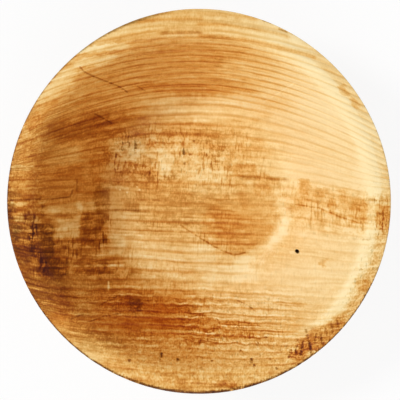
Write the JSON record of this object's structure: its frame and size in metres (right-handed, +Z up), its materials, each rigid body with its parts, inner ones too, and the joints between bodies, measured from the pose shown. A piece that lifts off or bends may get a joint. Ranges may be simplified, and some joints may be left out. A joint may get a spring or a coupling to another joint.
{
  "type": "palm leaf bowl",
  "caption": "Round shallow bowl pressed from a single palm leaf sheath, with a flat base, curved wall, narrow flat rim band and fine bowed veins.",
  "frame": {"origin": "centre of the flat base, on its underside", "axes": "+Z up through the open mouth, the leaf's veins along X, +Y towards the side where the veins bow outwards most"},
  "size_m": [0.1492, 0.1508, 0.0404],
  "materials": {
    "leaf": "satin, dried palm leaf sheath with fine raised veins and brown stains"
  },
  "bodies": {
    "root": {"bowl": "leaf"}
  },
  "joints": []
}
